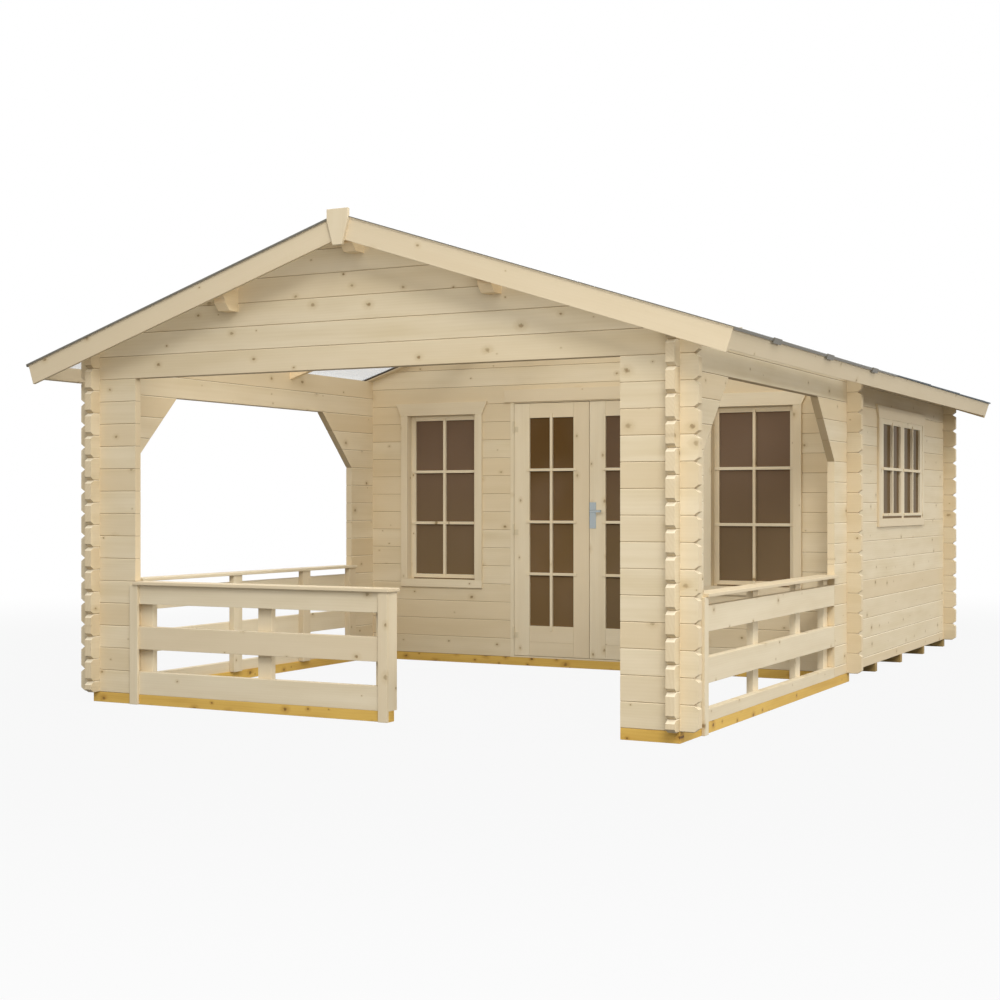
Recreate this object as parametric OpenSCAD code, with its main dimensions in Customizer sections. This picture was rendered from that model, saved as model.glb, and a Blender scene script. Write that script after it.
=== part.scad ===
// Guest cabin of interlocking logs: an open porch under the front of the roof,
// a closed room with glazed double doors behind it.
// The front faces -Y, +Z is up, and the origin is on the ground under the middle of the whole part.

/* [Log walls] */
// Height of one log course
log_h = 135; // [115:1:150]
// Thickness of a wall log
log_t = 48; // [44:1:60]
// Bevel along each edge of a log
log_bevel = 4; // [1:0.5:7]
// Width over the outer faces of the side walls
cabin_w = 3795; // [3500:5:4400]
// Porch depth, front face of the front wall to front face of the middle wall
porch_d = 3125; // [2600:5:3800]
// Room depth, front face of the middle wall to outer face of the back wall
room_d = 3092; // [2600:5:3800]
// How far the front, middle and back logs run past the side walls
side_tip = 98; // [70:1:120]
// How far the side logs run past the front and back walls
end_tip = 78; // [60:1:95]
// Length of the sloped cut on a log tip
tip_cut = 28; // [10:1:45]
// Height of the sloped cut on a log tip
tip_rise = 20; // [8:1:26]
// Courses of logs below the front header
opening_courses = 14; // [14:1:16]

/* [Porch] */
// Width of the front wall beside the front opening
stub_w = 324; // [260:1:420]
// Depth of the side wall behind the front wall
front_post_d = 338; // [260:1:420]
// Depth of the side wall in front of the middle wall
rear_post_d = 306; // [240:1:420]
// Run of a corner brace along a side opening
brace_run = 395; // [250:5:520]
// Drop of a corner brace in a side opening
brace_drop = 405; // [250:5:520]
// Clear width of the entry beside the front railing
entry_w = 1374; // [1000:1:1700]

/* [Foundation] */
// Height of the foundation beams
base_h = 60; // [45:1:90]
// Width of the foundation beams
base_w = 58; // [45:1:80]
// Joists behind the beam under the middle wall
joist_count = 4; // [3:1:6]
// Thickness of the room's floor boards
floor_t = 19; // [15:1:28]

/* [Roof] */
// Pitch of the roof in degrees
roof_pitch = 18; // [15:0.5:22]
// Thickness of the roof boards
board_t = 19; // [15:1:26]
// Play between roof layers that lie on each other
lay_gap = 0.2; // [0.1:0.1:0.8]
// Thickness of one layer of roofing felt
felt_t = 6; // [3:0.5:8]
// Width of one strip of roofing felt
felt_strip_w = 1010; // [800:5:1300]
// Thickness of one porch roof sheet at its thin end
sheet_t = 4; // [3:0.5:7]
// Width of the first porch roof sheet
first_sheet_w = 673; // [500:1:900]
// Width of each further porch roof sheet
sheet_w = 1035; // [800:5:1300]
// Reach of the room's roof boards and felt over the porch
room_roof_reach = 70; // [40:5:250]
// Width of the short rafter on each side of the porch
rafter_w = 45; // [35:1:60]
// Depth of the short rafter below the underside of the roof, measured plumb
rafter_drop = 57; // [40:1:70]
// Place of the short rafter between the front wall and the middle wall
rafter_share = 0.641; // [0.3:0.001:0.8]
// How far the felt reaches past the barge boards and the eave boards
felt_lip = 8; // [2:1:15]
// Reach of the roof past the side walls
eave_reach = 345; // [250:1:420]
// Reach of the front barge boards past the front wall
front_reach = 191; // [150:1:260]
// Reach of the back barge boards past the back wall
back_reach = 122; // [115:1:220]
// Width of a barge board
barge_w = 125; // [100:1:150]
// Thickness of a barge board
barge_t = 20; // [16:1:28]
// Width of an eave board
eave_board_w = 92; // [70:1:120]
// Thickness of an eave board
eave_board_t = 20; // [16:1:28]
// Width of the block over the ridge joint of the barge boards
block_w = 136; // [110:1:170]
// Width of that block at its foot
block_foot_w = 60; // [40:1:100]
// Height of that block
block_h = 197; // [170:1:240]
// Rise of that block over the felt
block_rise = 18; // [0:1:40]
// Height of the straight upper part of that block
block_straight_h = 62; // [40:1:90]
// Thickness of that block
block_t = 20; // [16:1:30]
// Width of a purlin
purlin_w = 80; // [60:1:100]
// Height of a purlin at its middle
purlin_h = 106; // [90:1:125]
// Distance of the side purlins from the ridge
purlin_x = 855; // [700:5:1000]
// Height of the corbel under a purlin
corbel_h = 62; // [45:1:80]
// Step from the end of a purlin back to the end of its corbel
corbel_inset = 50; // [20:1:60]
// Sloped cut under the end of a purlin or corbel
corbel_cut = 40; // [20:1:55]

/* [Railings] */
// Height of the railings above the foundation
rail_top = 675; // [640:5:800]
// Thickness of the railing cap
cap_t = 20; // [15:1:30]
// Overhang of the railing cap
cap_lip = 12; // [5:1:25]
// Width of an inner railing post
rail_post_w = 94; // [70:1:120]
// Thickness of an inner railing post
rail_post_t = 40; // [25:1:50]
// Width of the trim boards at the railing ends
trim_w = 60; // [45:1:80]
// Thickness of the trim boards
trim_t = 18; // [12:1:24]

/* [Doors] */
// Width of a door leaf
leaf_w = 605; // [500:1:660]
// Height of a door leaf
leaf_h = 1865; // [1750:1:1870]
// Thickness of a door leaf
leaf_t = 34; // [28:1:36]
// Width of the glass opening in a leaf
leaf_glass_w = 358; // [250:1:400]
// Height of the glass opening in a leaf
leaf_glass_h = 1539; // [1300:1:1560]
// Height of a leaf's bottom rail
leaf_rail_h = 220; // [150:1:260]
// Running gap between a leaf and its frame
leaf_gap = 6; // [5:0.5:8]
// Thickness of the door frame
jamb_t = 30; // [24:1:40]
// Height of the threshold
threshold_h = 12; // [8:1:20]
// Reach of the door stops over the leaves
stop_w = 14; // [10:1:20]
// Height of the door handle above the foot of the leaf
handle_z = 1070; // [950:5:1150]
// Length of the handle lever
lever_len = 82; // [70:1:140]
// Height of the handle plate
plate_h = 190; // [150:1:240]
// Width of the handle plate
plate_w = 50; // [35:1:70]

/* [Windows] */
// Clear width between the casings of a porch window
porch_window_w = 588; // [450:1:640]
// Clear height between the casings of a porch window
porch_window_h = 1251; // [1000:1:1290]
// Height of a porch window's clear opening above the foundation
porch_window_z = 566; // [500:1:660]
// Place of a porch window between the door frame and the side wall, as a share
porch_window_share = 0.488; // [0.4:0.002:0.55]
// Clear width between the casings of a side window
side_window_w = 1320; // [900:5:1500]
// Clear height between the casings of a side window
side_window_h = 725; // [550:1:760]
// Height of a side window's clear opening above the foundation
side_window_z = 1034; // [900:1:1060]
// Place of a side window's middle along the room, as a share from the middle wall
side_window_share = 0.495; // [0.45:0.005:0.55]
// Step from a side wall's outer face back to the sash, below zero where the sash stands proud
side_sash_y = -14; // [-18:1:40]
// Width of the outer sash bars of a side window
side_stile_w = 78; // [50:1:90]
// Width of the two sash bars at the middle of a side window
side_mullion_w = 116; // [80:1:140]
// Width of the casing boards
casing_w = 60; // [45:1:80]
// Thickness of the casing boards
casing_t = 18; // [12:1:24]
// Height of the casing's header board
header_h = 94; // [70:1:110]
// Flare of the header board's ends
header_flare = 44; // [0:1:50]
// Thickness of the window liner
liner_t = 16; // [12:1:22]
// Reach of the door's header board past the door frame
header_reach = 44; // [10:1:70]
// Reach of the window liner into the room
liner_reach = 34; // [20:1:45]
// Width of the other sash bars around the glass
sash_w = 38; // [30:1:60]
// Thickness of a sash
sash_t = 36; // [28:1:44]
// Thickness of the glass
glass_t = 4; // [3:0.5:6]

/* [Hidden] */

// Overrun of every cut past the face that it leaves
overrun = 5;
// Sides of round pieces
$fn = 40;

log_colour = "#d6c39a";
trim_colour = "#dccba5";
base_colour = "#c89a4c";
joist_colour = "#967d4c";
felt_colour = "#565f64";
sheet_colour = "#dde4ea";
glass_colour = "#5f4e40";
steel_colour = "#98a5aa";
hinge_colour = "#d4c4a3";

// Places in the plan
half_w = cabin_w / 2;
inner_w = cabin_w - 2 * log_t;
total_d = block_t + front_reach + porch_d + room_d + back_reach + block_t;
front_y = block_t + front_reach - total_d / 2;
mid_y = front_y + porch_d;
back_y = mid_y + room_d;
side_window_y = mid_y + side_window_share * room_d;
front_post_y = front_y + front_post_d;
rear_post_y = mid_y - rear_post_d;

// Heights above the foundation
half_log = log_h / 2;
notch_h = log_h / 2;
opening_z = opening_courses * log_h;
side_opening_z = opening_z - half_log;
tip_top_z = opening_z + log_h;
plate_z = tip_top_z + half_log;
ridge_rise = (half_w - log_t) * tan(roof_pitch);
gable_courses = ceil((plate_z + ridge_rise) / log_h);

// Joint heights: front, middle and back walls start with a whole log, side walls with half a log
front_levels = [for (i = [0 : opening_courses]) i * log_h];
gable_levels = [for (i = [opening_courses : gable_courses]) i * log_h];
back_levels = [for (i = [0 : gable_courses]) i * log_h];
gable_tip_levels = [opening_z, tip_top_z];
back_tip_levels = [for (i = [0 : opening_courses + 1]) i * log_h];
side_joints = [for (i = [0 : opening_courses - 1]) half_log + i * log_h];
side_levels = concat([0], side_joints);
plate_levels = [side_opening_z, side_opening_z + log_h, plate_z];

// Underside of the roof above the foundation, at a distance from the ridge
function roof_z(x) = plate_z + (half_w - log_t - abs(x)) * tan(roof_pitch);

// A point of the right roof slope, by its distance down from the ridge and its height over the underside
function slope_point(down, up) = [
    down * cos(roof_pitch) + up * sin(roof_pitch),
    roof_z(0) - down * sin(roof_pitch) + up * cos(roof_pitch)
];

// A layer on the right roof slope, cut plumb at the ridge and square at the eave
function slope_layer(low, high, down) = [
    slope_point(-low * tan(roof_pitch), low),
    slope_point(down, low),
    slope_point(down, high),
    slope_point(-high * tan(roof_pitch), high)
];

slope_end = (half_w + eave_reach - board_t * sin(roof_pitch)) / cos(roof_pitch);
boards_end = slope_end - eave_board_t;
roof_front_y = front_y - front_reach;
roof_back_y = back_y + back_reach;
boards_front_y = roof_front_y + barge_t;
boards_back_y = roof_back_y - barge_t;
room_roof_y = mid_y - room_roof_reach;
rafter_y = front_y + rafter_share * porch_d;
rafter_top = board_t / cos(roof_pitch);
felt_d = roof_back_y + felt_lip - room_roof_y;
felt_strips = ceil(felt_d / felt_strip_w);
felt_edges = [for (i = [0 : felt_strips]) min(i * felt_strip_w, felt_d)];
sheets_d = room_roof_y - lay_gap - roof_front_y + felt_lip;
sheet_count = 1 + ceil((sheets_d - first_sheet_w) / sheet_w);
sheet_edges = concat(
    [0],
    [for (i = [0 : sheet_count - 1]) min(first_sheet_w + i * sheet_w, sheets_d)]
);

// Door opening in the middle wall
meeting_gap = leaf_gap + log_bevel / 2;
leaf_foot = threshold_h + leaf_gap;
frame_half_w = leaf_w + meeting_gap / 2 + leaf_gap;
door_half_w = frame_half_w + jamb_t;
frame_top_z = leaf_foot + leaf_h + leaf_gap;
door_top_z = frame_top_z + jamb_t;
casing_reveal = leaf_gap + log_bevel / 2;
leaf_x = meeting_gap / 2;
porch_window_x = door_half_w + porch_window_share * (half_w - log_t - door_half_w);

// Hinges of the leaves
hinge_r = 7;
hinge_h = 40;
hinge_play = 0.4;
hinge_flag_t = 2.5;
hinge_flag_w = 30;
hinge_x = leaf_x + leaf_w + leaf_gap / 2;
hinge_shares = [0.09, 0.5, 0.91];

// Door handle
plate_t = 4;
neck_r = 9;
neck_len = 40;
lever_r = 8;
plate_drop_share = 0.66;

// Openings through the walls for the window liners
porch_hole_w = porch_window_w + 2 * liner_t;
porch_hole_h = porch_window_h + 2 * liner_t;
side_hole_w = side_window_w + 2 * liner_t;
side_hole_h = side_window_h + 2 * liner_t;
porch_sash_y = log_t + liner_reach - sash_t;

// Railings
stub_x = half_w - stub_w;
rail_end_x = stub_x - entry_w - trim_t;
rail_depth = log_t + rail_post_t;
rail_under_cap = rail_top - cap_t;
front_rails = [[0, log_h], [2 * log_h, 3 * log_h], [4 * log_h, rail_under_cap]];
side_rails = [
    [0, half_log],
    [half_log + log_h, half_log + 2 * log_h],
    [half_log + 3 * log_h, half_log + 4 * log_h]
];
front_post_shares = [0, 0.52, 1];
side_post_shares = [0, 0.398, 0.743, 1];

// A wall is drawn with its outer face on y = 0 and its inner face on y = log_t
module at_front() translate([0, front_y, 0]) children();
module at_mid() translate([0, mid_y, 0]) children();
module at_back() translate([0, back_y - log_t, 0]) children();
module at_right() translate([half_w, 0, 0]) rotate([0, 0, 90]) children();
module both_sides() {
    children();
    mirror([1, 0, 0]) children();
}

// An upright outline drawn in x and z, made thick from y = 0 towards +y
module upright(thick) translate([0, thick, 0]) rotate([90, 0, 0]) linear_extrude(thick) children();

// A profile drawn in y and z, carried along x
module along_x(length) rotate([90, 0, 90]) linear_extrude(length) children();

function reversed(list) = [for (i = [len(list) - 1 : -1 : 0]) list[i]];

// Section of stacked logs with bevelled edges, its outer top corner lowered by top_drop
function log_section(levels, top_drop) =
    let (last = len(levels) - 1)
    concat(
        [for (i = [0 : last - 1]) each [
            [log_bevel, levels[i]],
            [0, levels[i] + log_bevel],
            [0, levels[i + 1] - max(log_bevel, i == last - 1 ? top_drop : 0)]
        ]],
        top_drop > 0 ? [[log_t, levels[last]]]
            : [[log_bevel, levels[last]], [log_t - log_bevel, levels[last]]],
        [for (i = [last - 1 : -1 : 0]) each [
            if (top_drop == 0 || i < last - 1) [log_t, levels[i + 1] - log_bevel],
            [log_t, levels[i] + log_bevel],
            [log_t - log_bevel, levels[i]]
        ]]
    );

// Edge of a stack of log tips from the lowest joint up, each tip cut back above and below
function tip_edge(end_x, out, levels) = concat(
    [for (i = [0 : len(levels) - 2]) each [
        [end_x - out * tip_cut, levels[i]],
        [end_x, levels[i] + tip_rise],
        [end_x, levels[i + 1] - tip_rise]
    ]],
    [[end_x - out * tip_cut, levels[len(levels) - 1]]]
);

// Elevation of a gable over its log tips
function gable_outline(tip_levels) =
    let (top = tip_levels[len(tip_levels) - 1], tip_x = half_w + side_tip)
    concat(
        tip_edge(tip_x, 1, tip_levels),
        [[half_w, top], [half_w, roof_z(half_w)], [0, roof_z(0)]],
        [[-half_w, roof_z(half_w)], [-half_w, top]],
        reversed(tip_edge(-tip_x, -1, tip_levels))
    );

// Notches where the logs of a crossing wall pass, half a log high around each joint
module notches(columns, joints) {
    for (x = columns)
        for (z = joints)
            translate([x, z - notch_h / 2])
                square([log_t, notch_h]);
}

// A wall of logs: its elevation, given as child, carried through the bevelled section
module log_wall(levels, low_x, high_x, top_drop = 0) {
    intersection() {
        translate([low_x - overrun, 0, base_h])
            along_x(high_x - low_x + 2 * overrun)
                polygon(log_section(levels, top_drop));
        translate([0, -overrun, base_h])
            upright(log_t + 2 * overrun)
                children();
    }
}

// A rectangle centred on x with its foot at z
module pane(x, z, wide, high) translate([x - wide / 2, z]) square([wide, high]);

// Section of the ridge purlin and of a side purlin, up to the roof or past it
module ridge_section(past = 0) {
    half = purlin_w / 2;
    polygon([
        [-half, roof_z(0) - purlin_h],
        [half, roof_z(0) - purlin_h],
        [half, roof_z(half) + past],
        [0, roof_z(0) + past],
        [-half, roof_z(half) + past]
    ]);
}
module side_section(past = 0) {
    half = purlin_w / 2;
    polygon([
        [purlin_x - half, roof_z(purlin_x) - purlin_h],
        [purlin_x + half, roof_z(purlin_x) - purlin_h],
        [purlin_x + half, roof_z(purlin_x + half) + past],
        [purlin_x - half, roof_z(purlin_x - half) + past]
    ]);
}
module purlin_seats() {
    ridge_section(overrun);
    both_sides() side_section(overrun);
}

side_columns = [-half_w, half_w - log_t];

// Foundation
module beam(x, y, wide, deep) translate([x, y, 0]) cube([wide, deep, base_h]);

module front_base() color(base_colour) {
    beam(-half_w, front_y, rail_end_x + trim_t + half_w, base_w);
    beam(stub_x, front_y, stub_w, base_w);
}
module side_bases() color(base_colour)
    both_sides() beam(half_w - base_w, front_y + base_w, base_w, porch_d - base_w);
module mid_base() color(base_colour) beam(-half_w, mid_y, cabin_w, base_w);
module floor_joists() color(joist_colour) {
    spacing = (room_d - base_w) / joist_count;
    for (i = [1 : joist_count])
        beam(-half_w, mid_y + i * spacing, cabin_w, base_w);
}
module room_floor() color(trim_colour)
    translate([-inner_w / 2, mid_y + log_t, base_h]) cube([inner_w, room_d - 2 * log_t, floor_t]);

// Front wall
module front_stub() {
    tip_x = half_w + side_tip;
    at_front() log_wall(front_levels, stub_x, tip_x)
        difference() {
            polygon(concat(
                tip_edge(tip_x, 1, front_levels),
                [[stub_x, opening_z], [stub_x, 0]]
            ));
            notches([half_w - log_t], front_levels);
        }
}
module front_left_wall() color(log_colour) mirror([1, 0, 0]) front_stub();
module front_right_wall() color(log_colour) front_stub();
module front_gable() color(log_colour)
    at_front() log_wall(gable_levels, -half_w - side_tip, half_w + side_tip)
        difference() {
            polygon(gable_outline(gable_tip_levels));
            notches(side_columns, gable_tip_levels);
            purlin_seats();
        }

// Side walls
module porch_side() {
    tip_y = front_y - end_tip;
    at_right() log_wall(side_levels, tip_y, front_post_y + brace_run)
        difference() {
            polygon(concat(
                [
                    [front_post_y, 0],
                    [front_post_y, side_opening_z - brace_drop],
                    [front_post_y + brace_run, side_opening_z]
                ],
                reversed(tip_edge(tip_y, -1, side_levels))
            ));
            notches([front_y], side_joints);
        }
}
module left_porch_wall() color(log_colour) mirror([1, 0, 0]) porch_side();
module right_porch_wall() color(log_colour) porch_side();

module room_side() {
    tip_y = back_y + end_tip;
    at_right() log_wall(side_levels, rear_post_y - brace_run, tip_y)
        difference() {
            polygon(concat(
                tip_edge(tip_y, 1, side_levels),
                [
                    [rear_post_y - brace_run, side_opening_z],
                    [rear_post_y, side_opening_z - brace_drop],
                    [rear_post_y, 0]
                ]
            ));
            notches([mid_y, back_y - log_t], side_joints);
            pane(side_window_y, side_window_z - liner_t, side_hole_w, side_hole_h);
        }
}
module left_wall() color(log_colour) mirror([1, 0, 0]) room_side();
module right_wall() color(log_colour) room_side();

module wall_plate() {
    low_y = front_y - end_tip;
    high_y = back_y + end_tip;
    at_right() log_wall(plate_levels, low_y, high_y, log_t * tan(roof_pitch))
        difference() {
            polygon(concat(
                tip_edge(high_y, 1, plate_levels),
                reversed(tip_edge(low_y, -1, plate_levels))
            ));
            notches([front_y, mid_y, back_y - log_t], plate_levels);
        }
}
module left_wall_plate() color(log_colour) mirror([1, 0, 0]) wall_plate();
module right_wall_plate() color(log_colour) wall_plate();

// Middle wall
module mid_side() {
    tip_x = half_w + side_tip;
    at_mid() log_wall(front_levels, door_half_w, tip_x)
        difference() {
            polygon(concat(
                tip_edge(tip_x, 1, front_levels),
                [[door_half_w, opening_z], [door_half_w, 0]]
            ));
            notches([half_w - log_t], front_levels);
            pane(porch_window_x, porch_window_z - liner_t, porch_hole_w, porch_hole_h);
        }
}
module mid_left_wall() color(log_colour) mirror([1, 0, 0]) mid_side();
module mid_right_wall() color(log_colour) mid_side();
module mid_gable() color(log_colour)
    at_mid() log_wall(gable_levels, -half_w - side_tip, half_w + side_tip)
        difference() {
            polygon(gable_outline(gable_tip_levels));
            notches(side_columns, gable_tip_levels);
            purlin_seats();
            pane(0, 0, 2 * door_half_w, door_top_z);
        }

// Back wall
module back_wall() color(log_colour)
    at_back() log_wall(back_levels, -half_w - side_tip, half_w + side_tip)
        difference() {
            polygon(gable_outline(back_tip_levels));
            notches(side_columns, back_tip_levels);
            purlin_seats();
        }

// Purlins, each with a sloped cut under both ends
module purlin_ends_cut(foot_z, low_y, high_y) {
    difference() {
        children();
        for (end = [[low_y, 1], [high_y, -1]])
            translate([0, end[0], base_h + foot_z])
                rotate([90, 0, 90])
                    linear_extrude(cabin_w, center = true)
                        polygon([
                            [-end[1] * overrun, -overrun],
                            [end[1] * (corbel_cut + overrun), -overrun],
                            [-end[1] * overrun, corbel_cut + overrun]
                        ]);
    }
}
module purlin_run()
    translate([0, boards_front_y, base_h])
        upright(boards_back_y - boards_front_y) children();
module ridge_purlin() color(log_colour)
    purlin_ends_cut(roof_z(0) - purlin_h, boards_front_y, boards_back_y)
        purlin_run() ridge_section();
module side_purlins() color(log_colour)
    both_sides()
        purlin_ends_cut(roof_z(purlin_x) - purlin_h, boards_front_y, boards_back_y)
            purlin_run() side_section();

// Corbels under the purlin ends, cut back below like the purlins
module corbel(x, top_z, reach) {
    translate([x - purlin_w / 2, 0, base_h + top_z - corbel_h])
        along_x(purlin_w)
            polygon([
                [0, 0],
                [reach - corbel_cut, 0],
                [reach, corbel_cut],
                [reach, corbel_h],
                [0, corbel_h]
            ]);
}
module corbel_row(reach) {
    corbel(0, roof_z(0) - purlin_h, reach);
    both_sides() corbel(purlin_x, roof_z(purlin_x) - purlin_h, reach);
}
module purlin_corbels() color(log_colour) {
    translate([0, back_y, 0]) corbel_row(back_reach - barge_t - corbel_inset);
    translate([0, front_y, 0]) mirror([0, 1, 0]) corbel_row(front_reach - barge_t - corbel_inset);
}

// Roof
module roof_run(low_y, high_y) translate([0, low_y, base_h]) upright(high_y - low_y) children();
module roof_boards()
    roof_run(room_roof_y, boards_back_y) polygon(slope_layer(lay_gap, board_t, boards_end - lay_gap));
module left_roof_boards() color(trim_colour) mirror([1, 0, 0]) roof_boards();
module right_roof_boards() color(trim_colour) roof_boards();

// Outline of strips laid side by side from the ridge to the eave, each lapping over the next one
function lapped_profile(edges, thin) =
    let (last = len(edges) - 1)
    concat(
        [[0, 0]],
        [for (i = [0 : last - 1]) each [[edges[i], thin], [edges[i + 1], 2 * thin]]],
        [[edges[last], 0]]
    );

// Lapped strips on the right slope, kept clear of the ridge block at the given end
module lapped_cover(low_y, edges, thin, block_y) {
    ridge_lap = (board_t + 2 * thin) * tan(roof_pitch) + overrun;
    run = edges[len(edges) - 1];
    cut_h = 2 * (ridge_rise + block_h);
    difference() {
        translate([0, low_y, base_h + roof_z(0)])
            rotate([0, roof_pitch, 0])
                translate([-ridge_lap, 0, board_t + lay_gap])
                    along_x(ridge_lap + slope_end + felt_lip)
                        polygon(lapped_profile(edges, thin));
        translate([-half_w, low_y - overrun, base_h + plate_z])
            cube([half_w, run + 2 * overrun, cut_h]);
        translate([-overrun, block_y, base_h + plate_z])
            cube([block_w / 2 + overrun, felt_lip + overrun, cut_h]);
    }
}
module roof_felt() lapped_cover(room_roof_y, felt_edges, felt_t, roof_back_y);
module left_roof_felt() color(felt_colour) mirror([1, 0, 0]) roof_felt();
module right_roof_felt() color(felt_colour) roof_felt();

// Pale sheets over the porch, on battens above the purlins and on short rafters beside them
module porch_sheets()
    lapped_cover(roof_front_y - felt_lip, sheet_edges, sheet_t, roof_front_y - felt_lip - overrun);
module left_porch_sheets() color(sheet_colour) mirror([1, 0, 0]) porch_sheets();
module right_porch_sheets() color(sheet_colour) porch_sheets();
module sheet_battens() color(trim_colour) {
    middle = purlin_x / cos(roof_pitch);
    half = purlin_w / 2;
    both_sides()
        roof_run(boards_front_y, room_roof_y) {
            polygon(slope_layer(lay_gap, board_t, half));
            polygon([
                slope_point(middle - half, lay_gap),
                slope_point(middle + half, lay_gap),
                slope_point(middle + half, board_t),
                slope_point(middle - half, board_t)
            ]);
        }
    low_x = half_w - log_t - lay_gap;
    high_x = purlin_x + half + lay_gap;
    both_sides()
        roof_run(rafter_y, rafter_y + rafter_w)
            polygon([
                [high_x, roof_z(high_x) - rafter_drop],
                [low_x, roof_z(low_x) - rafter_drop],
                [low_x, roof_z(low_x) + rafter_top],
                [high_x, roof_z(high_x) + rafter_top]
            ]);
}

module barge_pair() {
    for (y = [roof_front_y, boards_back_y])
        roof_run(y, y + barge_t)
            polygon(slope_layer(board_t - barge_w, board_t, slope_end));
}
module left_barge_boards() color(trim_colour) mirror([1, 0, 0]) barge_pair();
module right_barge_boards() color(trim_colour) barge_pair();

// Block over the joint of the barge boards: straight at first, then tapered to its foot
module ridge_block() {
    top_z = slope_point(0, board_t + 2 * felt_t)[1] + block_rise;
    upright(block_t)
        translate([0, top_z])
            polygon([
                [-block_w / 2, 0],
                [-block_w / 2, -block_straight_h],
                [-block_foot_w / 2, -block_h],
                [block_foot_w / 2, -block_h],
                [block_w / 2, -block_straight_h],
                [block_w / 2, 0]
            ]);
}
module ridge_blocks() color(trim_colour) {
    translate([0, roof_front_y - block_t, base_h]) ridge_block();
    translate([0, roof_back_y, base_h]) ridge_block();
}

module eave_boards() color(trim_colour)
    both_sides()
        roof_run(boards_front_y, boards_back_y)
            polygon([
                slope_point(boards_end, board_t - eave_board_w),
                slope_point(slope_end, board_t - eave_board_w),
                slope_point(slope_end, board_t),
                slope_point(boards_end, board_t)
            ]);

// Railing between two ends along x, flush with the wall in front and with its posts behind
module railing(low_x, high_x, rails, post_shares) {
    run = high_x - low_x;
    for (rail = rails)
        translate([low_x, 0, base_h + rail[0]])
            cube([run, log_t, rail[1] - rail[0]]);
    for (share = post_shares)
        translate([low_x + share * (run - rail_post_w), log_t, base_h])
            cube([rail_post_w, rail_post_t, rail_under_cap]);
}
module rail_cap(low_x, high_x)
    translate([low_x, -cap_lip - trim_t, base_h + rail_under_cap])
        cube([high_x - low_x, rail_depth + trim_t + 2 * cap_lip, cap_t]);
module rail_trim(x)
    translate([x, -trim_t, 0])
        cube([trim_w, trim_t, base_h + rail_under_cap]);

module front_railing() color(trim_colour)
    at_front() {
        railing(-stub_x, rail_end_x, front_rails, front_post_shares);
        rail_cap(-stub_x, rail_end_x + trim_t + cap_lip);
        rail_trim(-stub_x - trim_w / 2);
        rail_trim(rail_end_x + trim_t - trim_w);
        translate([rail_end_x, 0, base_h]) cube([trim_t, rail_depth, rail_under_cap]);
    }
module side_railing()
    at_right() {
        railing(front_post_y, rear_post_y, side_rails, side_post_shares);
        rail_cap(front_post_y, rear_post_y);
        rail_trim(front_post_y - trim_w / 2);
    }
module left_railing() color(trim_colour) mirror([1, 0, 0]) side_railing();
module right_railing() color(trim_colour) side_railing();

// Window in a wall drawn with its outer face on y = 0, its clear opening centred on x over z
module header_board(x, z, wide, flare)
    translate([x, -casing_t, base_h + z])
        upright(casing_t)
            polygon([
                [-wide / 2, 0],
                [wide / 2, 0],
                [wide / 2 + flare, header_h],
                [-wide / 2 - flare, header_h]
            ]);
module window_frame(x, z, wide, high) {
    translate([0, 0, base_h])
        upright(log_t + liner_reach)
            difference() {
                pane(x, z - liner_t, wide + 2 * liner_t, high + 2 * liner_t);
                pane(x, z, wide, high);
            }
    translate([0, -casing_t, base_h])
        upright(casing_t)
            difference() {
                pane(x, z - casing_w, wide + 2 * casing_w, high + casing_w);
                pane(x, z, wide, high + overrun);
            }
    header_board(x, z + high, wide + 2 * casing_w, header_flare);
}
module window_lights(x, z, wide, high, lights, stile_w, mullion_w) {
    light_w = (wide - 2 * stile_w - (lights - 1) * mullion_w) / lights;
    for (i = [0 : lights - 1])
        translate([x - wide / 2 + stile_w + i * (light_w + mullion_w), z + sash_w])
            square([light_w, high - 2 * sash_w]);
}
module window_sash(x, z, wide, high, lights, stile_w, mullion_w, sash_y)
    translate([0, sash_y, base_h])
        upright(sash_t)
            difference() {
                pane(x, z, wide, high);
                window_lights(x, z, wide, high, lights, stile_w, mullion_w);
            }
module window_glass(x, z, wide, high, lights, stile_w, mullion_w, sash_y)
    translate([0, sash_y + (sash_t - glass_t) / 2, base_h])
        upright(glass_t)
            window_lights(x, z, wide, high, lights, stile_w, mullion_w);

module porch_window_frames() color(trim_colour)
    at_mid() both_sides() window_frame(porch_window_x, porch_window_z, porch_window_w, porch_window_h);
module porch_window_sashes() color(trim_colour)
    at_mid() both_sides()
        window_sash(
            porch_window_x, porch_window_z, porch_window_w, porch_window_h,
            1, sash_w, 0, porch_sash_y
        );
module porch_window_glass() color(glass_colour)
    at_mid() both_sides()
        window_glass(
            porch_window_x, porch_window_z, porch_window_w, porch_window_h,
            1, sash_w, 0, porch_sash_y
        );
module side_window_frames() color(trim_colour)
    both_sides() at_right() window_frame(side_window_y, side_window_z, side_window_w, side_window_h);
module side_window_sashes() color(trim_colour)
    both_sides() at_right()
        window_sash(
            side_window_y, side_window_z, side_window_w, side_window_h,
            2, side_stile_w, side_mullion_w, side_sash_y
        );
module side_window_glass() color(glass_colour)
    both_sides() at_right()
        window_glass(
            side_window_y, side_window_z, side_window_w, side_window_h,
            2, side_stile_w, side_mullion_w, side_sash_y
        );

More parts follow.
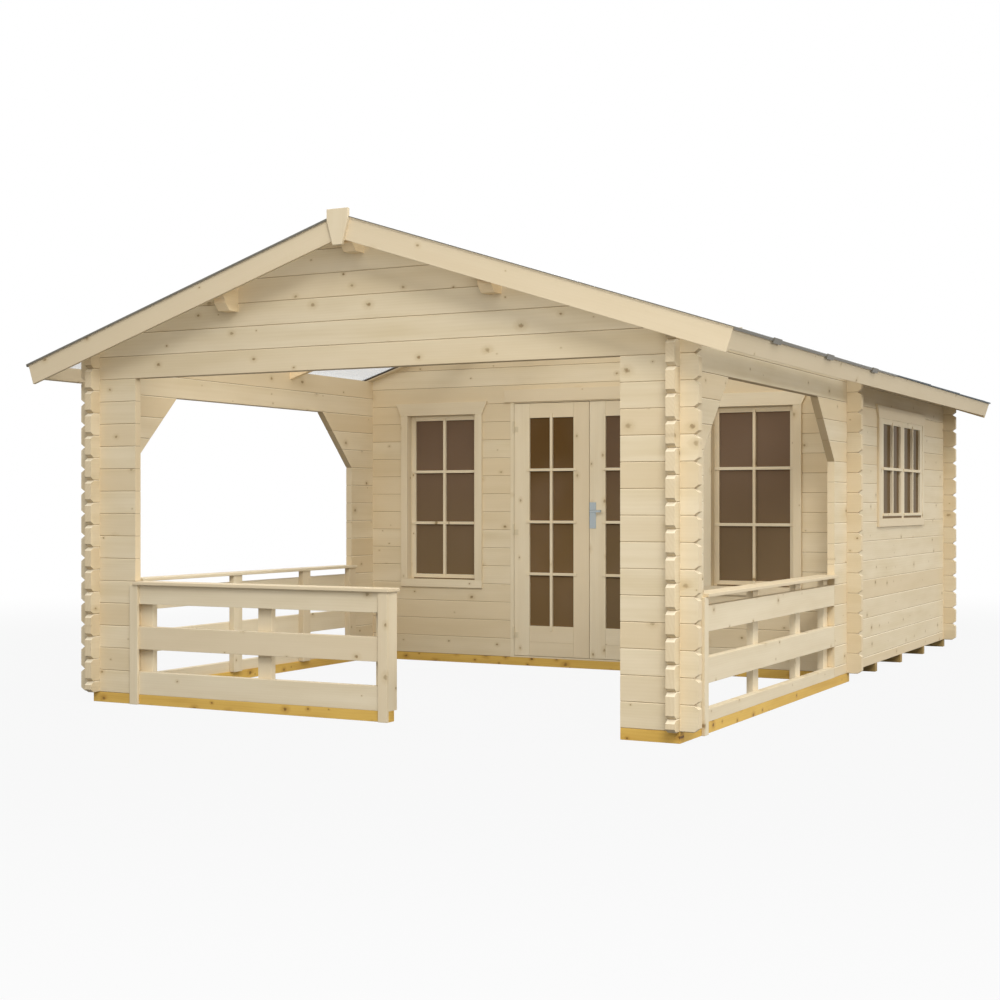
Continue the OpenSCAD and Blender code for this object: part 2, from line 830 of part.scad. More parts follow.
// Door frame: jambs and head in the wall, stops behind the leaves, a threshold and a header in front
module door_frame() color(trim_colour)
    at_mid() {
        translate([0, 0, base_h])
            upright(log_t)
                difference() {
                    pane(0, 0, 2 * door_half_w, door_top_z);
                    pane(0, threshold_h, 2 * frame_half_w, frame_top_z - threshold_h);
                }
        translate([0, leaf_t + leaf_gap, base_h])
            upright(log_t - leaf_t - leaf_gap)
                difference() {
                    pane(0, 0, 2 * door_half_w, door_top_z);
                    pane(0, threshold_h, 2 * (frame_half_w - stop_w), frame_top_z - stop_w - threshold_h);
                }
        header_board(0, frame_top_z + casing_reveal, 2 * (door_half_w + header_reach), 0);
    }

// Leaf on the right of the middle, its outer face on y = 0
module door_leaf()
    at_mid()
        translate([0, 0, base_h])
            upright(leaf_t)
                difference() {
                    translate([leaf_x, leaf_foot]) square([leaf_w, leaf_h]);
                    pane(leaf_x + leaf_w / 2, leaf_foot + leaf_rail_h, leaf_glass_w, leaf_glass_h);
                }
module door_glass()
    at_mid()
        translate([0, (leaf_t - glass_t) / 2, base_h])
            upright(glass_t)
                pane(leaf_x + leaf_w / 2, leaf_foot + leaf_rail_h, leaf_glass_w, leaf_glass_h);
module left_door() color(trim_colour) mirror([1, 0, 0]) door_leaf();
module right_door() color(trim_colour) door_leaf();
module left_door_glass() color(glass_colour) mirror([1, 0, 0]) door_glass();
module right_door_glass() color(glass_colour) door_glass();

// Hinges: a knuckle on the leaf with its flag, and one over it on the frame, on one upright axis
module knuckle() translate([hinge_x, -hinge_r, 0]) cylinder(r = hinge_r, h = hinge_h);
module flag(low_x, wide) translate([low_x, -hinge_flag_t, 0]) cube([wide, hinge_flag_t, hinge_h]);
module at_hinges()
    for (share = hinge_shares)
        translate([0, mid_y, base_h + leaf_foot + share * leaf_h - hinge_h])
            children();
module leaf_hinges()
    at_hinges() {
        knuckle();
        flag(hinge_x - leaf_gap / 2 - hinge_flag_w, hinge_flag_w + leaf_gap / 2);
    }
module left_hinges() color(hinge_colour) mirror([1, 0, 0]) leaf_hinges();
module right_hinges() color(hinge_colour) leaf_hinges();
module frame_hinges() color(hinge_colour)
    both_sides()
        at_hinges()
            translate([0, 0, hinge_h + hinge_play]) {
                knuckle();
                flag(hinge_x, leaf_gap / 2 + casing_reveal);
            }

// Lever handles on both faces of the right leaf
module handle_side() {
    plate_x = leaf_x + plate_w / 2;
    translate([plate_x, 0, 0]) {
        translate([-plate_w / 2, -plate_t, -plate_h * plate_drop_share])
            cube([plate_w, plate_t, plate_h]);
        rotate([90, 0, 0]) cylinder(r = neck_r, h = plate_t + neck_len);
        translate([0, -plate_t - neck_len, 0]) {
            sphere(r = neck_r);
            rotate([0, 90, 0]) cylinder(r = lever_r, h = lever_len);
        }
    }
}
module door_handle() color(steel_colour)
    translate([0, mid_y, base_h + leaf_foot + handle_z]) {
        handle_side();
        translate([0, leaf_t, 0]) mirror([0, 1, 0]) handle_side();
    }

front_base();
side_bases();
mid_base();
floor_joists();
room_floor();
front_left_wall();
front_right_wall();
front_gable();
left_porch_wall();
right_porch_wall();
left_wall();
right_wall();
left_wall_plate();
right_wall_plate();
mid_left_wall();
mid_right_wall();
mid_gable();
back_wall();
ridge_purlin();
side_purlins();
purlin_corbels();
left_roof_boards();
right_roof_boards();
left_roof_felt();
right_roof_felt();
sheet_battens();
left_porch_sheets();
right_porch_sheets();
left_barge_boards();
right_barge_boards();
ridge_blocks();
eave_boards();
front_railing();
left_railing();
right_railing();
porch_window_frames();
porch_window_sashes();
porch_window_glass();
side_window_frames();
side_window_sashes();
side_window_glass();
door_frame();
frame_hinges();
left_door();
left_door_glass();
left_hinges();
right_door();
right_door_glass();
right_hinges();
door_handle();
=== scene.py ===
"""Looks of the guest cabin: boards, bars, sheet edging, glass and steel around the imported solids.

All lengths are in metres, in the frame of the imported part: the front faces -Y and +Z is up.
"""
import math
import random
from functools import partial

import bmesh
import bpy
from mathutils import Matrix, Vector


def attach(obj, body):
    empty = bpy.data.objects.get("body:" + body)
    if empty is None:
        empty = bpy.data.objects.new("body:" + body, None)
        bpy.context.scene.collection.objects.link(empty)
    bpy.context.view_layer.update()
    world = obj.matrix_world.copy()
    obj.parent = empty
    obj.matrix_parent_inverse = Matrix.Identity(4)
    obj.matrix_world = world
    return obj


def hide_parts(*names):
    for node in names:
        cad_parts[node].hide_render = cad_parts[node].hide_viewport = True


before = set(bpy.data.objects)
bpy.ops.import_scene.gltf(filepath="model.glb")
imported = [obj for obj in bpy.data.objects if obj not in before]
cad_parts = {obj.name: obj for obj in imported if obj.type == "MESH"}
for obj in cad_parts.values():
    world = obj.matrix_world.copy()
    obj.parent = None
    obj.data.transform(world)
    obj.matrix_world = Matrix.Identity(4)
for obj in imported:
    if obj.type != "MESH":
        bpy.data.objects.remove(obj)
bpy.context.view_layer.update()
RNG = random.Random(7)

# Sizes, most of them repeated from the solids
LOG_H = 0.135
LOG_T = 0.048
BASE_H = 0.060
BASE_W = 0.058
HALF_W = 1.8975
FRONT_Y = -3.074
MID_Y = 0.051
BACK_Y = 3.143
SIDE_WINDOW_Y = MID_Y + 0.495 * (BACK_Y - MID_Y)
FRONT_POST_Y = FRONT_Y + 0.338
REAR_POST_Y = MID_Y - 0.306
STUB_X = HALF_W - 0.324
ENTRY_W = 1.374
JOISTS = 4
FLOOR_T = 0.019
FLOOR_BOARDS = 30

PITCH = math.radians(18)
PLATE_Z = BASE_H + 15.5 * LOG_H
ROOF_RIDGE_Z = PLATE_Z + (HALF_W - LOG_T) * math.tan(PITCH)
BOARD_T = 0.019
LAY_GAP = 0.0002
FELT_T = 0.006
FELT_LIP = 0.008
SLOPE_END = (HALF_W + 0.345 - BOARD_T * math.sin(PITCH)) / math.cos(PITCH)
EAVE_T = 0.020
EAVE_W = {-1: 0.092, 1: 0.109}  # by side: in the photo the right board is deeper than its solid
EAVE_JOINT = 0.875
EAVE_TONE = 1.0
BOARDS_END = SLOPE_END - EAVE_T
ROOF_FRONT_Y = FRONT_Y - 0.191
ROOF_BACK_Y = BACK_Y + 0.122
BARGE_W = 0.125
BARGE_T = 0.020
BARGE_TONE = 0.95
BOARDS_FRONT_Y = ROOF_FRONT_Y + BARGE_T
BOARDS_BACK_Y = ROOF_BACK_Y - BARGE_T
ROOM_ROOF_Y = MID_Y - 0.070
ROOF_BOARDS = 35
ROOF_BOARD_EDGE = 0.003
BLOCK = {"w": 0.136, "foot": 0.060, "h": 0.197, "straight": 0.062, "t": 0.020, "rise": 0.018}

# Edging of the porch sheets: heights above the lower face of the roof boards, places along the ridge
SHEET_Z = BOARD_T + LAY_GAP
SHEET_END = SLOPE_END + FELT_LIP
SHEET_FRONT_Y = ROOF_FRONT_Y - FELT_LIP
LAPS_Y = (-2.604, -1.618, -0.602)
LAP_W = 0.130
EDGING_T = 0.003
EDGING_TOP = SHEET_Z + 0.004
EDGING_EDGE = 0.0008
EAVE_EDGING_FOOT = 0.008
ROOM_EDGING_FOOT = SHEET_Z - 0.006
FRONT_EDGING_FOOT = {-1: SHEET_Z - 0.007, 1: SHEET_Z - 0.001}
CLIP = {"foot": -0.002, "top": SHEET_Z + 0.009, "t": 0.007}

# Felt turned down at the front end of the room's roof, clear of the battens
FOLD_T = 0.004
FOLD_H = 0.010
FOLD_EDGE = 0.001
BATTEN_CLEAR = 0.042
SIDE_BATTEN_X = 0.855

RAIL_TOP = 0.675
CAP_T = 0.020
CAP_LIP = 0.012
POST_W = 0.094
POST_T = 0.040
TRIM_W = 0.060
TRIM_T = 0.018
RAIL_END_X = STUB_X - ENTRY_W - TRIM_T
RAIL_DEPTH = LOG_T + POST_T
UNDER_CAP = RAIL_TOP - CAP_T
CAP_EDGE = 0.004
FRONT_POSTS = (0, 0.52, 1)
SIDE_POSTS = (0, 0.398, 0.743, 1)

LEAF_W = 0.605
LEAF_H = 1.865
LEAF_T = 0.034
LEAF_GLASS_W = 0.358
LEAF_GLASS_H = 1.539
LEAF_RAIL_H = 0.220
LEAF_SPLIT = 0.119
LEAF_ROWS = 4
LEAF_GAP = 0.006
LEAF_X = 0.004
LEAF_FOOT = 0.018
LEAF_LIP = 0.003
MEETING_LIP = 0.002
FRAME_HALF_W = LEAF_W + LEAF_X + LEAF_GAP
JAMB_T = 0.030
FRAME_TOP = LEAF_FOOT + LEAF_H + LEAF_GAP
THRESHOLD_H = 0.012
STOP_W = 0.014
STOP_FRONT = LEAF_T + 0.006
STOP_EDGE = 0.0015
CASING_REVEAL = 0.008

CASING_W = 0.060
CASING_T = 0.018
HEADER_H = 0.094
HEADER_FLARE = 0.044
HEADER_REACH = 0.044
LINER_T = 0.016
LINER_DEPTH = LOG_T + 0.034
SASH_W = 0.038
SIDE_STILE_W = 0.078
SIDE_MULLION_W = 0.116
SASH_T = 0.036
GLASS_T = 0.004
DOOR_HALF_W = FRAME_HALF_W + JAMB_T
PORCH_WINDOW_X = DOOR_HALF_W + 0.488 * (HALF_W - LOG_T - DOOR_HALF_W)

# Windows: the stiles of each light from one end to the other, and the height of the gap under a sash,
# drawn as a strip of painted shade
PORCH_WINDOW = {
    "wide": 0.588, "high": 1.251, "z": 0.566 + BASE_H, "front": LINER_DEPTH - SASH_T, "rows": 3,
    "gap": 0.009, "stiles": ((SASH_W, SASH_W),),
}
SIDE_WINDOW = {
    "wide": 1.320, "high": 0.725, "z": 1.034 + BASE_H, "front": -0.014, "rows": 2,
    "gap": 0.017,
    "stiles": ((SIDE_STILE_W, SIDE_MULLION_W / 2), (SIDE_MULLION_W / 2, SIDE_STILE_W)),
}

# Glazing bars: width, and how far the front strips lap the frame at the sides and at the ends
SASH_BARS = {"w": 0.021, "side_lap": 0.034, "end_lap": 0.020}
LEAF_BARS = {"w": 0.020, "side_lap": 0.024, "end_lap": 0.034}
BAR_PROUD = 0.007
BAR_STEP = 0.001
DRIP_INSET = 0.6
DRIP_PROUD = 0.009
DRIP_H = 0.017
GAP_SHADE_PROUD = 0.001

CAMERA = {
    "sensor": 36.0, "lens": 57.456, "shift_y": 0.005,
    "place": (4.7595, -10.560, 1.1927), "turn": math.radians(27.36),
}
SKY = {"Color": (1.0, 0.985, 0.96, 1.0), "Strength": 0.53}
WHITE = (1.0, 1.0, 1.0, 1.0)
GROUND_REACH = 80.0
GROUND_FADE = {"low": 5.0, "high": 12.0, "start": 0.92, "end": 1.0}

X = Vector((1, 0, 0))
Y = Vector((0, 1, 0))
Z = Vector((0, 0, 1))
AXES = {"x": X, "y": Y, "z": Z}
SIDES = ((-1, "left"), (1, "right"))
EDGE = 0.0025


def srgb(red, green, blue):
    """Linear colour of an 8-bit display colour."""
    def linear(value):
        part = value / 255
        return part / 12.92 if part <= 0.04045 else ((part + 0.055) / 1.055) ** 2.4
    return (linear(red), linear(green), linear(blue), 1.0)


class Graph:
    """A node tree: each call adds a node and returns its output."""

    def __init__(self, tree, out):
        self.tree = tree
        self.tree.nodes.clear()
        self.out = self.tree.nodes.new(out)

    def put(self, socket, value):
        if isinstance(value, bpy.types.NodeSocket):
            self.tree.links.new(value, socket)
        elif value is not None:
            socket.default_value = value

    def node(self, kind, inputs=None, **settings):
        made = self.tree.nodes.new(kind)
        for key, value in settings.items():
            setattr(made, key, value)
        for key, value in (inputs or {}).items():
            self.put(made.inputs[key], value)
        return made

    def math(self, operation, first, second=None, third=None):
        made = self.node("ShaderNodeMath", {0: first, 1: second, 2: third}, operation=operation)
        return made.outputs[0]

    def vector(self, operation, first, second=None):
        made = self.node("ShaderNodeVectorMath", {0: first, 1: second}, operation=operation)
        return made.outputs["Value" if operation in ("LENGTH", "DOT_PRODUCT") else "Vector"]

    def split(self, vector):
        return self.node("ShaderNodeSeparateXYZ", {0: vector}).outputs

    def join(self, first, second, third):
        return self.node("ShaderNodeCombineXYZ", {0: first, 1: second, 2: third}).outputs[0]

    def fade(self, value, low, high, start=0.0, end=1.0):
        made = self.node("ShaderNodeMapRange", {0: value, 1: low, 2: high, 3: start, 4: end},
                         interpolation_type="SMOOTHSTEP")
        return made.outputs[0]

    def noise(self, vector, scale, detail=2.0, roughness=0.5):
        made = self.node("ShaderNodeTexNoise", {
            "Vector": vector, "Scale": scale, "Detail": detail, "Roughness": roughness})
        return made.outputs[0]

    def mix(self, share, first, second, blend="MIX"):
        made = self.node("ShaderNodeMix", data_type="RGBA", blend_type=blend)
        self.put(made.inputs[0], share)
        self.put(made.inputs[6], first)
        self.put(made.inputs[7], second)
        return made.outputs[2]

    def bump(self, height, strength, distance):
        return self.node("ShaderNodeBump", {
            "Height": height, "Strength": strength, "Distance": distance}).outputs[0]


class Shader(Graph):
    """The node tree of a new material."""

    def __init__(self, name):
        self.material = bpy.data.materials.new(name)
        self.material.use_nodes = True
        super().__init__(self.material.node_tree, "ShaderNodeOutputMaterial")

    def principled(self, **inputs):
        made = self.node("ShaderNodeBsdfPrincipled")
        for key, value in inputs.items():
            self.put(made.inputs[key.replace("_", " ")], value)
        self.tree.links.new(made.outputs[0], self.out.inputs[0])
        return self.material


# Pine looks: wood colours, heart and halo of a knot, share of cells with a knot, size of the largest
# knot, cell of the knot pattern along and across the grain, and colours of end grain
LOG_LOOK = {
    "light": srgb(228, 213, 183), "dark": srgb(213, 195, 158), "warm": srgb(225, 203, 164),
    "knot": srgb(138, 112, 74), "halo": srgb(196, 173, 130), "knots": 0.62, "size": 0.0105,
    "cell": (0.36, 0.118), "ends": (srgb(226, 207, 172), srgb(212, 189, 150)),
}
# Purlins, battens and corbels: a paler, warmer copy of the log look, painted light that brightens wood
# lying in the barges' shade
PURLIN_PAINTED_LIGHT_LOOK = {
    **LOG_LOOK, "light": srgb(246, 226, 188), "dark": srgb(234, 210, 166), "warm": srgb(244, 216, 170),
    "ends": (srgb(254, 230, 188), srgb(246, 214, 166)),
}
TRIM_LOOK = {
    "light": srgb(229, 215, 186), "dark": srgb(216, 199, 166), "warm": srgb(227, 207, 172),
    "knot": srgb(142, 116, 78), "halo": srgb(200, 177, 134), "knots": 0.50, "size": 0.0090,
    "cell": (0.36, 0.118),
}
BASE_LOOK = {
    "light": srgb(224, 186, 98), "dark": srgb(196, 154, 72), "warm": srgb(216, 172, 82),
    "knot": srgb(82, 52, 22), "halo": srgb(160, 106, 42), "knots": 0.80, "size": 0.0110,
    "cell": (0.22, 0.060),
}
JOIST_LOOK = {
    "light": srgb(172, 146, 92), "dark": srgb(136, 110, 64), "warm": srgb(164, 132, 78),
    "knot": srgb(84, 62, 34), "halo": srgb(120, 94, 54), "knots": 0.6, "size": 0.0085,
    "cell": (0.36, 0.118),
}


def wood_figure(sh, grain):
    """Share of dark wood from streaks, blotches and rings, and the height of the fibre."""
    streaks = sh.noise(sh.vector("MULTIPLY", grain, (0.5, 8.0, 8.0)), 1.6, 3.0, 0.55)
    fibre = sh.noise(sh.vector("MULTIPLY", grain, (5.0, 190.0, 190.0)), 1.0, 2.0, 0.6)
    bend = sh.noise(sh.vector("MULTIPLY", grain, (1.1, 5.0, 5.0)), 1.0, 1.0)
    shift = sh.math("MULTIPLY_ADD", bend, 0.05, -0.02)
    parts = sh.split(grain)
    ring_at = sh.join(sh.math("MULTIPLY", parts[0], 0.05), sh.math("ADD", parts[1], shift),
                      sh.math("ADD", parts[2], 0.055))
    rings = sh.node("ShaderNodeTexWave", {
        "Vector": ring_at, "Scale": 22.0, "Distortion": 0.8, "Detail": 2.0, "Detail Scale": 1.2},
        wave_type="RINGS", rings_direction="X", wave_profile="SIN").outputs[1]
    blotch = sh.noise(sh.vector("MULTIPLY", grain, (2.4, 9.0, 9.0)), 1.0, 2.0, 0.5)
    share = sh.math("MULTIPLY", streaks, 0.52)
    for part, weight in ((blotch, 0.36), (rings, 0.05), (fibre, 0.07)):
        share = sh.math("MULTIPLY_ADD", part, weight, share)
    return sh.fade(share, 0.30, 0.82), fibre


def wood_colour(sh, grain, tone, look):
    """Colour and height of pine, from coordinates along, across and through the board."""
    share, fibre = wood_figure(sh, grain)
    colour = sh.mix(share, look["light"], look["dark"])
    colour = sh.mix(sh.fade(tone, 0.35, 1.0, 0.0, 0.55), colour, look["warm"])
    shade = sh.math("MULTIPLY_ADD", tone, -0.075, 1.03)
    colour = sh.mix(1.0, colour, sh.join(shade, shade, shade), "MULTIPLY")
    halo, heart = knot_masks(sh, grain, look)
    colour = sh.mix(sh.math("MULTIPLY", halo, 0.4), colour, look["halo"])
    colour = sh.mix(heart, colour, look["knot"])
    height = sh.math("MULTIPLY_ADD", heart, -0.5, fibre)
    return colour, height


def knot_masks(sh, grain, look):
    """Masks of the halo and the heart of knots that run through the board."""
    cell = look["cell"]
    parts = sh.split(grain)
    place = sh.join(sh.math("DIVIDE", parts[0], cell[0]), sh.math("DIVIDE", parts[1], cell[1]), 0.0)
    cells = sh.node("ShaderNodeTexVoronoi", {"Vector": place, "Scale": 1.0, "Randomness": 0.92},
                    voronoi_dimensions="2D", feature="F1")
    away = sh.vector("SUBTRACT", place, cells.outputs["Position"])
    away = sh.vector("MULTIPLY", away, (cell[0] / 1.35, cell[1], 0.0))
    pick = sh.split(cells.outputs["Color"])
    radius = sh.math("MULTIPLY_ADD", sh.math("POWER", pick[0], 1.6), look["size"], 0.0028)
    wobble = sh.noise(grain, 75.0, 2.0)
    reach = sh.math("DIVIDE", sh.vector("LENGTH", away), radius)
    reach = sh.math("MULTIPLY_ADD", wobble, 1.3, sh.math("SUBTRACT", reach, 0.65))
    shown = sh.math("LESS_THAN", pick[1], look["knots"])
    heart = sh.math("MULTIPLY", sh.fade(reach, 1.2, 0.35), shown)
    heart = sh.math("MULTIPLY", heart, sh.math("MULTIPLY_ADD", pick[2], 0.45, 0.5))
    halo = sh.math("MULTIPLY", sh.fade(reach, 3.4, 0.9), shown)
    return halo, heart


def finish_wood(sh, colour, height):
    roughness = sh.math("MULTIPLY_ADD", height, 0.14, 0.55)
    normal = sh.bump(height, 0.22, 0.0008)
    return sh.principled(Base_Color=colour, Roughness=roughness, Normal=normal,
                         Specular_IOR_Level=0.28)


def board_material(name, look):
    """Wood of pieces that carry their own grain coordinates and tone."""
    sh = Shader(name)
    grain = sh.node("ShaderNodeAttribute", attribute_name="grain").outputs["Vector"]
    tone = sh.node("ShaderNodeAttribute", attribute_name="tone").outputs["Fac"]
    colour, height = wood_colour(sh, grain, tone, look)
    return finish_wood(sh, colour, height)


def end_grain(sh, colour, along, place, ends, shade_down_cuts):
    """Warmer wood with rings where the surface cuts across the grain, and painted shade that darkens
    cuts that look down.
    """
    normal = sh.node("ShaderNodeNewGeometry").outputs["True Normal"]
    across = sh.math("ABSOLUTE", sh.vector("DOT_PRODUCT", normal, along))
    rings = sh.node("ShaderNodeTexWave", {"Vector": place, "Scale": 30.0, "Distortion": 2.0},
                    wave_type="RINGS", rings_direction="SPHERICAL").outputs[1]
    ends = sh.mix(sh.math("MULTIPLY", rings, 0.35), *ends)
    # Painted shade: end cuts that look down are darkened
    if shade_down_cuts:
        ends = sh.mix(sh.fade(sh.split(normal)[2], -0.2, -0.7), ends, srgb(170, 145, 106))
    return sh.mix(sh.fade(across, 0.45, 0.75, 0.0, 0.7), colour, ends)


def log_grain(sh, place, along_y, first_joint):
    """Grain coordinates and tone of each course of a wall, and the height in its log as a share."""
    parts = sh.split(place)
    along, through = (parts[1], parts[0]) if along_y else (parts[0], parts[1])
    course = sh.math("DIVIDE", sh.math("SUBTRACT", parts[2], first_joint), LOG_H)
    index = sh.math("FLOOR", course)
    part_up = sh.math("SUBTRACT", course, index)
    wall = sh.math("FLOOR", sh.math("MULTIPLY_ADD", through, 2.0, 0.5))
    seed = sh.math("MULTIPLY_ADD", wall, 7.31, sh.math("MULTIPLY", index, 1.37))
    chance = sh.node("ShaderNodeTexWhiteNoise", {"W": seed}, noise_dimensions="1D").outputs
    draws = sh.split(chance["Color"])
    grain = sh.join(sh.math("MULTIPLY_ADD", draws[0], 40.0, along),
                    sh.math("MULTIPLY_ADD", draws[1], 9.0, sh.math("MULTIPLY", part_up, LOG_H)),
                    through)
    return grain, chance["Value"], part_up


def joint_shade_and_highlight(sh, colour, part_up, highlight_share):
    """Painted shade: a dark line at the foot of each log, in the groove of its joint; painted
    highlight: paler wood on edges and cuts that look up.
    """
    # Painted shade in the groove at the foot of each log
    line = sh.fade(sh.math("MULTIPLY", part_up, LOG_H), 0.0040, 0.0008)
    colour = sh.mix(sh.math("MULTIPLY", line, 0.7), colour, srgb(140, 112, 72))
    # Painted highlight: faces that look up are made paler, as if lit from above
    facing = sh.split(sh.node("ShaderNodeNewGeometry").outputs["True Normal"])[2]
    return sh.mix(sh.fade(facing, 0.3, 0.6, 0.0, highlight_share), colour, srgb(250, 241, 218))


def log_material(name, along_y, first_joint, joints=True, look=LOG_LOOK):
    """Wood of stacked logs: each course has its own tone and grain; with the joint lines on, also
    painted shade at its joint and on cuts that look down, and a painted highlight on faces that look
    up.
    """
    sh = Shader(name)
    place = sh.node("ShaderNodeTexCoord").outputs["Object"]
    grain, tone, part_up = log_grain(sh, place, along_y, first_joint)
    colour, height = wood_colour(sh, grain, tone, look)
    along = Y if along_y else X
    colour = end_grain(sh, colour, along, place, look["ends"], joints)
    # Painted shade at the joints and a painted highlight on faces that look up, stronger on the side
    # logs
    if joints:
        colour = joint_shade_and_highlight(sh, colour, part_up, 0.55 if along_y else 0.2)
    return finish_wood(sh, colour, height)


def felt_material():
    """Roofing felt: blue grey mineral grit with paler worn patches."""
    sh = Shader("felt_grit")
    place = sh.node("ShaderNodeTexCoord").outputs["Object"]
    grit = sh.noise(place, 620.0, 2.0, 0.7)
    cloud = sh.noise(place, 5.0, 3.0)
    colour = sh.mix(sh.fade(grit, 0.34, 0.68), srgb(70, 76, 80), srgb(126, 132, 134))
    colour = sh.mix(sh.fade(cloud, 0.4, 0.75, 0.0, 0.35), colour, srgb(104, 108, 106))
    normal = sh.bump(grit, 0.55, 0.0016)
    rough = sh.math("MULTIPLY_ADD", grit, 0.12, 0.80)
    return sh.principled(Base_Color=colour, Roughness=rough, Normal=normal)


def glass_material(name, low, high):
    """Window glass with the dim room behind painted in: smoky brown painted shade with a faint
    waviness, and paler clouds and a tint changing upwards as painted reflections and shade.
    """
    sh = Shader(name)
    place = sh.node("ShaderNodeTexCoord").outputs["Object"]
    cloud = sh.noise(place, 1.7, 2.0)
    colour = sh.mix(sh.fade(sh.split(place)[2], 0.5, 1.8), low, high)
    colour = sh.mix(sh.fade(cloud, 0.35, 0.75, 0.0, 0.35), colour, srgb(134, 112, 92))
    normal = sh.bump(sh.noise(place, 7.0, 1.0), 0.02, 0.002)
    rough = sh.math("MULTIPLY_ADD", cloud, 0.04, 0.05)
    return sh.principled(Base_Color=colour, Roughness=rough, Normal=normal, Alpha=0.92,
                         IOR=1.06)


def steel_material():
    """Satin steel with fine brushing."""
    sh = Shader("satin_steel")
    place = sh.node("ShaderNodeTexCoord").outputs["Object"]
    brushed = sh.noise(sh.vector("MULTIPLY", place, (900.0, 900.0, 40.0)), 1.0, 2.0)
    colour = sh.mix(brushed, srgb(168, 180, 186), srgb(196, 205, 209))
    rough = sh.math("MULTIPLY_ADD", brushed, 0.18, 0.24)
    normal = sh.bump(brushed, 0.05, 0.0003)
    return sh.principled(Base_Color=colour, Roughness=rough, Normal=normal, Metallic=0.9)


def sheet_material():
    """Pale see-through roofing sheet with faint flutes down the slope."""
    sh = Shader("pale_sheet")
    place = sh.node("ShaderNodeTexCoord").outputs["Object"]
    cloud = sh.noise(place, 2.6, 2.0)
    flutes = sh.math("SINE", sh.math("MULTIPLY", sh.split(place)[1], 160.0))
    colour = sh.mix(cloud, srgb(214, 224, 234), srgb(232, 238, 244))
    normal = sh.bump(flutes, 0.10, 0.002)
    rough = sh.math("MULTIPLY_ADD", cloud, 0.1, 0.3)
    return sh.principled(Base_Color=colour, Roughness=rough, Normal=normal, Alpha=0.24,
                         Specular_IOR_Level=0.25)


def sheet_edge_material():
    """Grey edging of the porch sheets."""
    sh = Shader("sheet_edging")
    place = sh.node("ShaderNodeTexCoord").outputs["Object"]
    cloud = sh.noise(place, 34.0, 2.0)
    colour = sh.mix(cloud, srgb(98, 94, 84), srgb(120, 115, 104))
    return sh.principled(Base_Color=colour, Roughness=sh.math("MULTIPLY_ADD", cloud, 0.15, 0.4),
                         Normal=sh.bump(cloud, 0.05, 0.001))


def zinc_material():
    """Pale dull zinc of the hinges."""
    sh = Shader("pale_zinc")
    place = sh.node("ShaderNodeTexCoord").outputs["Object"]
    bloom = sh.noise(place, 160.0, 3.0)
    colour = sh.mix(bloom, srgb(206, 191, 158), srgb(222, 209, 180))
    return sh.principled(Base_Color=colour, Roughness=sh.math("MULTIPLY_ADD", bloom, 0.2, 0.4),
                         Normal=sh.bump(bloom, 0.04, 0.0005), Metallic=0.35)


def fold_and_gap_shade_material(name, low, high):
    """Dark folds and shadow gaps."""
    sh = Shader(name)
    place = sh.node("ShaderNodeTexCoord").outputs["Object"]
    grit = sh.noise(place, 400.0, 2.0)
    colour = sh.mix(grit, low, high)
    return sh.principled(Base_Color=colour, Roughness=sh.math("MULTIPLY_ADD", grit, 0.2, 0.6))


MATERIALS = {
    "front_logs": log_material("front_logs", False, BASE_H),
    "side_logs": log_material("side_logs", True, BASE_H + LOG_H / 2),
    "purlins": log_material("purlins", True, 0.0, joints=False, look=PURLIN_PAINTED_LIGHT_LOOK),
    "trim": board_material("trim_boards", TRIM_LOOK),
    "base": board_material("base_beams", BASE_LOOK),
    "joist": board_material("joist_beams", JOIST_LOOK),
    "felt": felt_material(),
    # Glass tints set for each window: painted shade of the dim room behind and painted reflections,
    # changing upwards
    "window_glass": glass_material("window_glass", srgb(124, 104, 76), srgb(121, 99, 80)),
    "side_glass": glass_material("side_glass", srgb(104, 84, 52), srgb(104, 84, 52)),
    "left_glass": glass_material("left_glass", srgb(122, 98, 66), srgb(99, 74, 42)),
    "right_glass": glass_material("right_glass", srgb(116, 96, 66), srgb(106, 84, 64)),
    "steel": steel_material(),
    "sheet": sheet_material(),
    "sheet_edge": sheet_edge_material(),
    "zinc": zinc_material(),
    "seal": fold_and_gap_shade_material("dark_seal", srgb(52, 40, 28), srgb(78, 62, 44)),
    # Brown painted shade for the gaps under the sashes
    "sash_gap_shade": fold_and_gap_shade_material("sash_gap_shade", srgb(112, 88, 54), srgb(132, 106, 68)),
}


